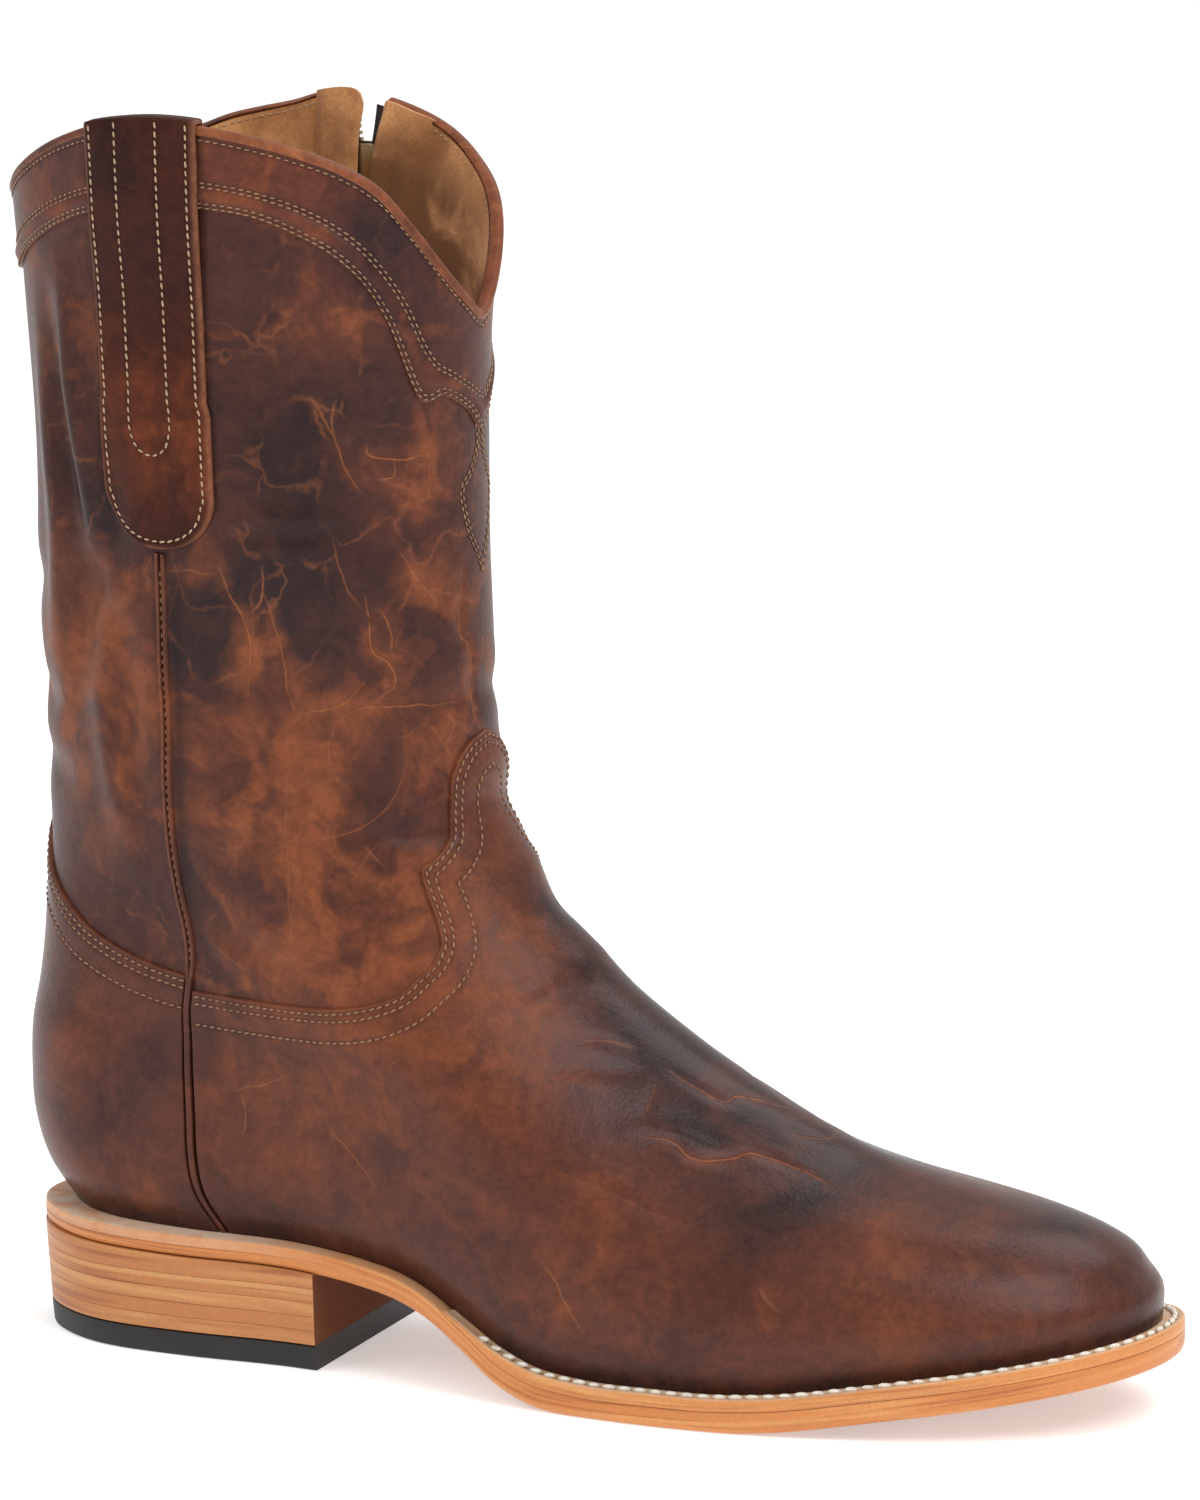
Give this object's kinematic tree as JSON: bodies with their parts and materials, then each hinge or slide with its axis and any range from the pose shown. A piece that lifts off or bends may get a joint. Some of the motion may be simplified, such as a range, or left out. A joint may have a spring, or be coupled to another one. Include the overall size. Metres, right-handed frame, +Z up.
{
  "type": "western boot",
  "caption": "Western boot for the right foot: brown leather shaft with scalloped collar, pull strap and inner side zip, leather sole, low stacked heel.",
  "frame": {"origin": "middle of the boot's box, on the floor that it stands on", "axes": "+X towards the toe, -Y towards the outer side of the right foot, +Z up the shaft"},
  "size_m": [0.321, 0.1084, 0.3314],
  "materials": {
    "shaft_leather": "waxed brown leather with rust and dark patches",
    "panel_leather": "waxed brown leather, smoother over the foot",
    "strap_leather": "dark waxed leather with rows of stitches",
    "sole_leather": "natural sole leather, polished edge",
    "welt_leather": "natural welt leather with pale stitches",
    "lift_leather": "stacked leather, polished edge",
    "heel_rubber": "black moulded rubber",
    "lining_leather": "matt tan lining leather",
    "zip_tape": "dark woven tape",
    "zip_metal": "aged brass"
  },
  "bodies": {
    "boot": {"outsole": "sole_leather", "welt": "welt_leather", "insole": "lining_leather", "heel_cap": "heel_rubber", "heel_lift_1": "lift_leather", "heel_lift_2": "lift_leather", "heel_lift_3": "lift_leather", "heel_lift_4": "lift_leather", "heel_lift_5": "lift_leather", "upper": "shaft_leather", "vamp": "panel_leather", "counter": "panel_leather", "collar_band": "shaft_leather", "pull_strap": "strap_leather", "side_seam_outer": "panel_leather", "side_seam_inner": "panel_leather", "zip_tape_front": "zip_tape", "zip_tape_rear": "zip_tape", "zip_teeth_front": "zip_metal", "zip_teeth_rear": "zip_metal", "zip_guard": "lining_leather", "zip_slider": "zip_metal"},
    "pull_tab": {"zip_pull": "zip_metal"}
  },
  "joints": [
    {"name": "pull_tab_hinge", "type": "hinge", "parent": "boot", "child": "pull_tab", "pos_m": [-0.07987, 0.0475, 0.30932], "axis": [0.9903, -0.1386, 0], "range_deg": [0, 165]}
  ]
}
